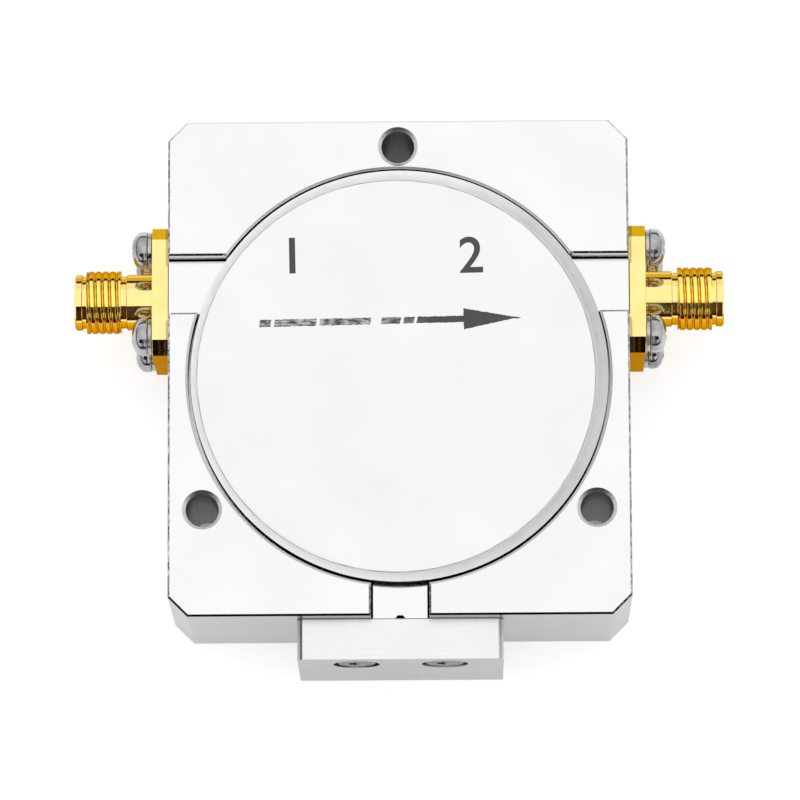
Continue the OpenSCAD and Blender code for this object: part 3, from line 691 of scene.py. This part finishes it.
def turned(name, outline, steps, ring=False):
    # Turns (radius, height) points about Z. A ring's outline closes on itself, any other starts and
    # ends on the axis.
    shape = bmesh.new()
    loops = []
    for radius, height in outline:
        if radius == 0:
            loops.append([shape.verts.new((0, 0, height))])
            continue
        angles = [math.tau * k / steps for k in range(steps)]
        loops.append([shape.verts.new((radius * math.cos(a), radius * math.sin(a), height)) for a in angles])
    followers = loops[1:] + loops[:1] if ring else loops[1:]
    for low, high in zip(loops, followers):
        for k in range(steps):
            after = (k + 1) % steps
            corners = [low[k % len(low)], low[after % len(low)], high[after % len(high)], high[k % len(high)]]
            shape.faces.new(list(dict.fromkeys(corners)))
    return pieceFrom(name, shape)


def addPrism(shape, outline, low, high, lowScale=1, highScale=1):
    # a block between two heights, whose outline may grow on the way up
    bottom = [shape.verts.new((x * lowScale, y * lowScale, low)) for x, y in outline]
    top = [shape.verts.new((x * highScale, y * highScale, high)) for x, y in outline]
    shape.faces.new(bottom)
    shape.faces.new(top)
    for k in range(len(outline)):
        after = (k + 1) % len(outline)
        shape.faces.new([bottom[k], bottom[after], top[after], top[k]])


def joined(name, pieces):
    shape = bmesh.new()
    for piece in pieces:
        shape.from_mesh(piece.data)
        bpy.data.objects.remove(piece)
    return pieceFrom(name, shape, outward=False)


def cutAway(piece, tool):
    modifier = piece.modifiers.new("cut", "BOOLEAN")
    modifier.object = tool
    modifier.operation = "DIFFERENCE"
    modifier.solver = "EXACT"
    flattened(piece)
    bpy.data.objects.remove(tool)
    return piece


def finished(piece, replaced, material=None, sharpAngle=35):
    # closes the piece: smooth faces with crisp edges, its material, its body and what it stands for
    if material is not None:
        piece.data.materials.clear()
        piece.data.materials.append(material)
    piece.data.shade_smooth()
    piece.data.set_sharp_from_angle(angle=math.radians(sharpAngle))
    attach(piece, "root")
    if replaced:
        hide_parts(*replaced)


sides = {"Left": -1, "Right": 1}


def onSide(side, height=0):
    # from a jack's own frame, +Z out of the housing, to its place on the left or right face
    place = Matrix.Translation((side * sideX, portPlace.y, portPlace.z))
    return place @ Matrix.Rotation(side * math.pi / 2, 4, "Y") @ Matrix.Translation((0, 0, height))


def flangePlate(name):
    size = jack
    half = size["flange"] / 2
    corner = half - size["flangeCorner"]
    loops = [[(corner, -half), (half, -corner), (half, corner), (corner, half),
              (-corner, half), (-half, corner), (-half, -corner), (-corner, -half)]]
    turns = [math.tau * k / size["holeSteps"] for k in range(size["holeSteps"])]
    holes = [(0, 0, size["boreRadius"])] + [(x, y, size["holeRadius"]) for x, y, z in flangeHoles]
    for x, y, radius in holes:
        loops.append([(x + radius * math.cos(a), y + radius * math.sin(a)) for a in turns])
    curve = bpy.data.curves.new(name, "CURVE")
    curve.dimensions = "2D"
    curve.fill_mode = "BOTH"
    curve.extrude = size["flangeThickness"] / 2 - size["flangeEdge"]
    curve.bevel_depth = size["flangeEdge"]
    curve.bevel_resolution = 2
    curve.offset = -size["flangeEdge"]
    for points in loops:
        spline = curve.splines.new("POLY")
        spline.points.add(len(points) - 1)
        spline.use_cyclic_u = True
        for point, (x, y) in zip(spline.points, points):
            point.co = (x, y, 0, 1)
    mesh = meshOfCurve(curve)
    mesh.transform(Matrix.Translation((0, 0, size["flangeThickness"] / 2)))
    return newPiece(name, mesh)


def jackBarrel(name):
    size = jack
    edge, land, groove, mouth = size["edge"], size["shankRadius"], size["grooveRadius"], size["mouthRadius"]
    foot, start, end = size["flangeThickness"] / 2, size["threadStart"], size["threadEnd"]
    outline = [(size["boreRadius"], foot), (land, foot),
               (land, size["shankEnd"] - edge), (land - edge, size["shankEnd"]),
               (groove, size["shankEnd"]), (groove, start)]
    outline += threadRows(size, size["threadRadius"], start, end)
    outline += [(groove, end), (groove, size["landStart"]),
                (land - edge, size["landStart"]), (land, size["landStart"] + edge),
                (land, size["openEnd"] - size["endBevel"]), (land - size["endBevel"], size["openEnd"]),
                (mouth + edge, size["openEnd"]), (mouth, size["openEnd"] - edge),
                (mouth, size["mouthStart"]), (size["boreRadius"], size["mouthStart"])]
    return ridged(turned(name, outline, size["steps"], ring=True), size, start, end, land, gold)


def makeJackShells():
    for word, side in sides.items():
        shell = joined("jackShell" + word, [flangePlate("plate"), jackBarrel("barrel")])
        shell.data.transform(onSide(side))
        finished(shell, ["connector_shell_" + word.lower()], gold, jack["sharpAngle"])


# Pan-head screw: heights run out from the seat of its head, and the seat's own out from the housing
panScrew = {
    "headRadius": 1.85 * mm, "headHeight": 1.6 * mm, "brim": 0.5 * mm, "seatRound": 0.16 * mm,
    "seatSteps": 4, "domePower": 2.2, "domeSteps": 15, "shankRadius": 0.95 * mm, "shankLength": 6 * mm,
    "tipShare": 0.8, "tipHeight": 0.2 * mm, "seat": 2.15 * mm, "recessSpan": 2 * mm,
    "recessWidth": 0.5 * mm, "recessDepth": 0.9 * mm, "recessFoot": 0.55, "recessMouth": 1.12,
    "recessTop": 0.2 * mm, "steps": 72, "turnSeed": 4, "sharpAngle": 30,
}


def shankOutline(size):
    # from the tip up to the seat of the head
    radius, foot = size["shankRadius"], -size["shankLength"]
    return [(0, foot), (radius * size["tipShare"], foot), (radius, foot + size["tipHeight"]), (radius, 0)]


def crossTool(name, top):
    # tapered cross, wide at the top and narrow at the bottom of the recess
    size = panScrew
    arm, half = size["recessSpan"] / 2, size["recessWidth"] / 2
    outline = [(arm, -half), (arm, half), (half, half), (half, arm), (-half, arm), (-half, half),
               (-arm, half), (-arm, -half), (-half, -half), (-half, -arm), (half, -arm), (half, -half)]
    shape = bmesh.new()
    bottom, top = top - size["recessDepth"], top + size["recessTop"]
    addPrism(shape, outline, bottom, top, size["recessFoot"], size["recessMouth"])
    return pieceFrom(name, shape)


def panHeadScrew(name):
    size = panScrew
    radius, height, brim = size["headRadius"], size["headHeight"], size["brim"]
    seatRound, seatSteps = size["seatRound"], size["seatSteps"]
    power, steps = size["domePower"], size["domeSteps"]
    outline = shankOutline(size)
    outline += [(radius - seatRound + seatRound * math.sin(a), seatRound - seatRound * math.cos(a))
                for a in (math.radians(90 * k / seatSteps) for k in range(seatSteps + 1))]
    for k in range(1, steps):
        share = math.sin(math.pi / 2 * k / steps)
        outline.append((radius * (1 - share ** power) ** (1 / power), brim + (height - brim) * share))
    outline.append((0, height))
    return cutAway(turned(name, outline, size["steps"]), crossTool(name + "Cross", height))


def setOnFlanges(name, master, size, height, material, node):
    # a copy of the master on each flange hole, as one piece to a side
    for word, side in sides.items():
        copies = grown(meshPiece(name + word, flangeHoles), fastenerSet, {
            "Fastener": master, "Greatest turn": (0, 0, math.tau),
            "Turn seed": size["turnSeed"] + side, "Material": material})
        copies.data.transform(onSide(side, height))
        finished(copies, [node + word.lower()], None, size["sharpAngle"])
    bpy.data.objects.remove(master)


# Spring washer: one turn of flat wire, with the height of its seat out from the housing
washer = {
    "meanRadius": 1.42 * mm, "wireWidth": 0.64 * mm, "wireHeight": 0.4 * mm, "edge": 0.07 * mm,
    "rise": 0.05 * mm, "turns": 0.955, "seat": 1.7 * mm, "turnSeed": 11, "sharpAngle": 40,
}


def makeFlangeFasteners():
    screw = panHeadScrew("panHeadMaster")
    seat = panScrew["seat"]
    setOnFlanges("flangeScrews", screw, panScrew, seat, screwSteel, "flange_screws_")
    size = washer
    ring = grown(meshPiece("washerMaster", []), springWasher, {
        "Mean radius": size["meanRadius"], "Wire width": size["wireWidth"], "Wire height": size["wireHeight"],
        "Edge radius": size["edge"], "Rise": size["rise"], "Turns": size["turns"], "Material": washerSteel})
    middle = size["seat"] + size["wireHeight"] / 2
    setOnFlanges("springWashers", ring, size, middle, washerSteel, "spring_washers_")


# Socket-head screw of the load block: heights run out from the seat of its head. Its knurl is a
# thread of many starts and no lead.
socketScrew = {
    "headRadius": 1.9 * mm, "headHeight": 2 * mm, "ridges": 0.0, "starts": 36.0, "ridgeDepth": 0.09 * mm,
    "crest": 0.07, "root": 0.46, "runOut": 0.12 * mm, "knurlFoot": 0.04 * mm, "knurlTop": 0.5,
    "skin": 0.06 * mm, "footBevel": 0.05 * mm, "footRow": 0.3 * mm, "bevel": 0.18 * mm,
    "bevelRow": 0.1 * mm, "bevelMiddle": 0.35, "shankRadius": 0.95 * mm, "shankLength": 5 * mm,
    "tipShare": 0.8, "tipHeight": 0.2 * mm,
    "hexAcross": 1.5 * mm, "hexDepth": 1 * mm, "hexPoint": 0.25 * mm, "hexTop": 0.1 * mm,
    "pitch": 8.6 * mm, "drop": 3.4 * mm, "sunk": 0.06 * mm, "turn": (0, 0, math.pi / 6),
    "steps": 216, "sharpAngle": 30,
}


def makeLoadScrews():
    size = socketScrew
    radius, height, bevel, foot = size["headRadius"], size["headHeight"], size["bevel"], size["footBevel"]
    middle = bevel * size["bevelMiddle"]
    outline = shankOutline(size)
    outline += [(radius - foot, 0), (radius, foot), (radius, size["footRow"]),
                (radius, height - bevel - size["bevelRow"]), (radius, height - bevel),
                (radius - middle, height - middle), (radius - bevel, height), (0, height)]
    master = ridged(turned("socketMaster", outline, size["steps"]), size, size["knurlFoot"],
                    height - bevel * size["knurlTop"], radius - size["skin"], socketSteel)
    bottom, top = height - size["hexDepth"], height + size["hexTop"]
    corner = size["hexAcross"] / math.sqrt(3)
    tool = [(0, bottom - size["hexPoint"]), (corner, bottom), (corner, top), (0, top)]
    cutAway(master, turned("hexCut", tool, steps=6))
    places = meshPiece("loadScrews", [(-size["pitch"] / 2, 0, 0), (size["pitch"] / 2, 0, 0)])
    screws = grown(places, fastenerSet, {
        "Fastener": master, "Least turn": size["turn"], "Greatest turn": size["turn"],
        "Material": socketSteel})
    place = Matrix.Translation((0, blockLow.y + size["sunk"] + height, blockHigh.z - size["drop"]))
    screws.data.transform(place @ Matrix.Rotation(math.pi / 2, 4, "X"))
    finished(screws, ["load_screws"], None, size["sharpAngle"])
    bpy.data.objects.remove(master)


def makeLid():
    size = lid
    radius, top, bottom = lidHigh.x, lidHigh.z, lidLow.z
    shoulder = top - size["bevelHeight"]
    low, high = bottom + size["threadMargin"], shoulder - size["threadMargin"]
    outline = [(0, bottom), (radius - size["footBevel"], bottom), *threadRows(size, radius, low, high),
               (radius, shoulder - size["edge"]), (radius - size["edge"], shoulder),
               (radius - size["bevelWidth"], top), (0, top)]
    piece = turned("threadedLid", outline, size["steps"])
    ridged(piece, size, low, high, radius - size["skin"], lidPlate)
    piece.data.transform(Matrix.Translation(size["lean"]))
    finished(piece, ["lid"], lidPlate, size["sharpAngle"])


makeJackShells()
print("jack shells made")
makeFlangeFasteners()
makeLoadScrews()
print("screws and washers made")
makeLid()
print("lid made")

# The direction arrow and the port numbers on the lid, etched dark and worn at the left. The dashes of
# its shaft lie along X, and the corners of its point from the head's end, in millimetres.
marks = {
    "tones": ("#565658", "#c8c8ca"), "spread": (0.42, 0.62), "sheen": (0.45, 0.6),
    "blotch": (0.9 * mm, 0.28 * mm, 1, 3.0), "depth": 0.001 * mm,
    "rubFull": -2 * mm, "rubStart": 3 * mm, "arrowTop": 8 * mm, "thickness": 0.012 * mm, "sink": 0.004 * mm,
    "shaft": [(-13.62, -12.38), (-12.2, -7.95), (-7.75, -2.65), (-1.75, 0.28), (0.42, 1.6), (1.72, 6.36)],
    "tail": Vector((-13.62 * mm, 5.2 * mm)), "slope": 1.0, "tailWidth": 0.74 * mm, "neckWidth": 0.62 * mm,
    "headStart": 19.95 * mm, "headEnd": 25.5 * mm, "headHeight": 2.12 * mm, "slant": 0.14 * mm,
    "neck": 0.2 * mm, "point": [(-0.9, -0.11), (0, -0.04), (0, 0.03), (-1.0, 0.16)],
    "ragged": 0.03 * mm, "raggedSeed": 5, "step": 0.16 * mm,
    "numberHeight": 3.7 * mm, "digitShare": 0.73, "numberSwell": 0.05 * mm, "numberBase": 10.2 * mm,
    "oneLeft": -11.6 * mm, "twoRight": 8.4 * mm,
}


def etchedMark():
    # laser-etched nickel: grey oxide, patchy, and rubbed nearly bright towards the arrow's tail
    size = marks
    material, tree = emptyMaterial("etchedMark")
    blotches = drawnOut(tree, *size["blotch"])
    place = surfacePlace(tree)[0]
    towardsHead = addNode(tree, "ShaderNodeMapRange", [place[0], size["rubFull"], size["rubStart"]])[0]
    onNumbers = zone(tree, (place[1], size["arrowTop"], farOut))
    unworn = [(share, size["tones"][0]) for share in (towardsHead, onNumbers)]
    return shaded(material, size, blotches, blotches, blotches, unworn)


def raggedLine(chance, start, end):
    # points from start up to end, each moved a little sideways
    run = end - start
    count = max(1, round(run.length / marks["step"]))
    side = Vector((-run.y, run.x)).normalized()
    points = []
    for k in range(count):
        push = 0 if k == 0 else chance.uniform(-1, 1) * marks["ragged"]
        points.append(start + run * (k / count) + side * push)
    return points


def makeArrow(material):
    size = marks
    chance = random.Random(size["raggedSeed"])
    turn = Matrix.Rotation(math.radians(size["slope"]), 2)
    length, half, tip = size["headStart"], size["headHeight"] / 2, size["headEnd"]
    shape = bmesh.new()

    def addLoop(corners):
        placed = [size["tail"] + turn @ Vector(c) for c in corners]
        outline = []
        for k in range(len(placed)):
            outline += raggedLine(chance, placed[k], placed[(k + 1) % len(placed)])
        addPrism(shape, outline, lidHigh.z - size["sink"], lidHigh.z + size["thickness"])

    for start, end in size["shaft"]:
        begin, stop = start * mm - size["tail"].x, end * mm - size["tail"].x
        first = (size["tailWidth"] + (size["neckWidth"] - size["tailWidth"]) * begin / length) / 2
        last = (size["tailWidth"] + (size["neckWidth"] - size["tailWidth"]) * stop / length) / 2
        lean = 0 if stop > length - size["neck"] else size["slant"]
        rise = size["slant"] if begin else 0
        addLoop([(begin, -first), (stop - lean, -last), (stop, last), (begin + rise, first)])
    addLoop([(length, -half), *[(tip + x * mm, y * mm) for x, y in size["point"]], (length, half)])
    finished(pieceFrom("flowArrow", shape), None, material)


def makePortNumbers(material):
    size = marks
    deep = size["thickness"] + size["sink"]
    middle = lidHigh.z - size["sink"] + deep / 2
    turn = Matrix.Rotation(math.radians(size["slope"]), 4, "Z")
    numbers = []
    for digit, align, x in (("1", "LEFT", size["oneLeft"]), ("2", "RIGHT", size["twoRight"])):
        text = bpy.data.curves.new("number" + digit, "FONT")
        text.body = digit
        text.size = size["numberHeight"] / size["digitShare"]
        text.align_x = align
        text.extrude = deep / 2
        text.offset = size["numberSwell"]
        mesh = meshOfCurve(text)
        mesh.transform(Matrix.Translation((x, size["numberBase"], middle)) @ turn)
        numbers.append(newPiece("digit" + digit, mesh))
    finished(joined("portNumbers", numbers), None, material)


etched = etchedMark()
makeArrow(etched)
makePortNumbers(etched)
print("marks made")

# The stage: a pale floor, a white room, one large soft lamp and dark cards that only metal sees
stage = {
    # the floor glows less under the bores, as painted shade seen down them
    "floorRadius": 3.0, "floor": "#cecece", "lift": 0.54, "liftInBores": 0.2,
    "skyStrength": 1.0, "lampPlace": (-0.12, 0.16, 0.8), "lampSize": 1.0, "lampPower": 0.65,
    "bandPlace": 0.0495, "bandReach": 0.0125, "band": "#3c281a",
}
# Each card: middle, width, height, turn about Z in degrees, colour. It stands upright and faces the
# object. Those at the front, which only the slopes and the jacks see, have two brown bands.
frontCards = {
    "frontCard": ((0, -0.34, 0.055), 0.9, 0.11, 0, "#0c0c0c"),
    "leftFrontCard": ((-0.06, -0.341, 0.195), 0.05, 0.17, 0, "#0c0c0c"),
    "rightFrontCard": ((0.06, -0.341, 0.195), 0.05, 0.17, 0, "#0c0c0c"),
    "leftTopFrontCard": ((-0.2425, -0.342, 0.5), 0.415, 0.44, 0, "#0c0c0c"),
    "rightTopFrontCard": ((0.2425, -0.342, 0.5), 0.415, 0.44, 0, "#0c0c0c"),
}
otherCards = {
    "leftCard": ((-0.5, 0, 0.06), 0.9, 0.12, 90, "#2c2c2c"),
    "rightCard": ((0.5, 0, 0.05), 0.9, 0.1, 90, "#b8b8b8"),
    "backCard": ((0, 0.5, 0.06), 0.9, 0.12, 0, "#303030"),
}


def floorPaper():
    # plain matt paper, brighter to the eye and to metal than to the lamps; under the bores it glows
    # less, as painted shade seen down the bores
    material, tree = emptyMaterial("floorPaper")
    rays = addNode(tree, "ShaderNodeLightPath")
    seen = rays["Is Camera Ray"]
    for ray in ("Is Glossy Ray", "Is Transmission Ray"):
        seen = addNode(tree, "ShaderNodeMath", [seen, rays[ray]], operation="MAXIMUM")[0]
    lift = layered(tree, stage["lift"], [
        (zone(tree, (radiusFrom(tree, x, y), 0, nickelBlock["boreRadius"])), stage["liftInBores"])
        for x, y in nickelBlock["boreCentres"]], "FLOAT")
    strength = addNode(tree, "ShaderNodeMath", [seen, lift], operation="MULTIPLY")[0]
    paper = addNode(tree, "ShaderNodeBsdfDiffuse", {"Color": stage["floor"]})[0]
    glow = addNode(tree, "ShaderNodeEmission", {"Color": "#ffffff", "Strength": strength})[0]
    both = addNode(tree, "ShaderNodeAddShader", [paper, glow])[0]
    addNode(tree, "ShaderNodeOutputMaterial", [both])
    return material


def makeFloor():
    shape = bmesh.new()
    bmesh.ops.create_circle(shape, cap_ends=True, segments=64, radius=stage["floorRadius"])
    floor = pieceFrom("floor", shape, outward=False)
    floor.data.transform(Matrix.Translation((0, 0, cadBox[0][2])))
    floor.data.materials.append(floorPaper())


def makeCards():
    place, reach = stage["bandPlace"], stage["bandReach"]
    for name, (middle, width, height, turn, colour) in {**frontCards, **otherCards}.items():
        material, tree = emptyMaterial(name + "Paint")
        if name in frontCards:
            across = surfacePlace(tree)[0][0]
            bands = [zone(tree, (across, x - reach, x + reach)) for x in (-place, place)]
            colour = layered(tree, colour, [(band, stage["band"]) for band in bands])
        paint = addNode(tree, "ShaderNodeEmission", {"Color": colour, "Strength": 1.0})[0]
        addNode(tree, "ShaderNodeOutputMaterial", [paint])
        corners = [(x * width / 2, 0, z * height / 2) for x, z in ((-1, -1), (1, -1), (1, 1), (-1, 1))]
        card = meshPiece(name, corners, [(0, 1, 2, 3)])
        card.data.transform(Matrix.Translation(middle) @ Matrix.Rotation(math.radians(turn), 4, "Z"))
        card.data.materials.append(material)
        for ray in ("camera", "diffuse", "transmission", "shadow", "volume_scatter"):
            setattr(card, "visible_" + ray, False)


def makeLight():
    world = bpy.data.worlds.new("whiteRoom")
    bpy.context.scene.world = world
    world.use_nodes = True
    tree = world.node_tree
    tree.nodes.clear()
    sky = addNode(tree, "ShaderNodeBackground", {"Color": "#ffffff", "Strength": stage["skyStrength"]})[0]
    addNode(tree, "ShaderNodeOutputWorld", [sky])
    lamp = bpy.data.lights.new("softBox", "AREA")
    lamp.shape = "SQUARE"
    lamp.size = stage["lampSize"]
    lamp.energy = stage["lampPower"]
    holder = newPiece("softBox", lamp)
    holder.location = stage["lampPlace"]
    holder.rotation_euler = (-holder.location).to_track_quat("-Z", "Y").to_euler()
    holder.visible_camera = False


# The camera looks nearly straight down, from a little in front of the load block
view = {
    "target": Vector((0, 0, 18 * mm)), "distance": 0.6429, "tilt": 10.79, "swing": 0.48, "roll": 0.289,
    "sensor": 36.0, "focalWidths": 8.2615, "targetAcross": 0.49863, "targetDown": 0.46896,
    "nearest": 0.01, "furthest": 20,
}


def makeCamera():
    tilt, swing = math.radians(view["tilt"]), math.radians(view["swing"])
    level = math.cos(swing)
    back = Vector((math.sin(swing), -math.sin(tilt) * level, math.cos(tilt) * level)).normalized()
    right = Vector((0, 1, 0)).cross(back).normalized()
    up = back.cross(right)
    turn = Matrix((right, up, back)).transposed() @ Matrix.Rotation(-math.radians(view["roll"]), 3, "Z")
    lens = bpy.data.cameras.new("camera")
    lens.sensor_width = view["sensor"]
    lens.lens = view["sensor"] * view["focalWidths"]
    lens.shift_x = 0.5 - view["targetAcross"]
    lens.shift_y = view["targetDown"] - 0.5
    lens.clip_start = view["nearest"]
    lens.clip_end = view["furthest"]
    camera = newPiece("camera", lens)
    camera.matrix_world = Matrix.Translation(view["target"] + back * view["distance"]) @ turn.to_4x4()
    bpy.context.scene.camera = camera


makeFloor()
makeCards()
makeLight()
makeCamera()
bpy.context.scene.view_settings.view_transform = "Standard"
print("stage, light and camera made")
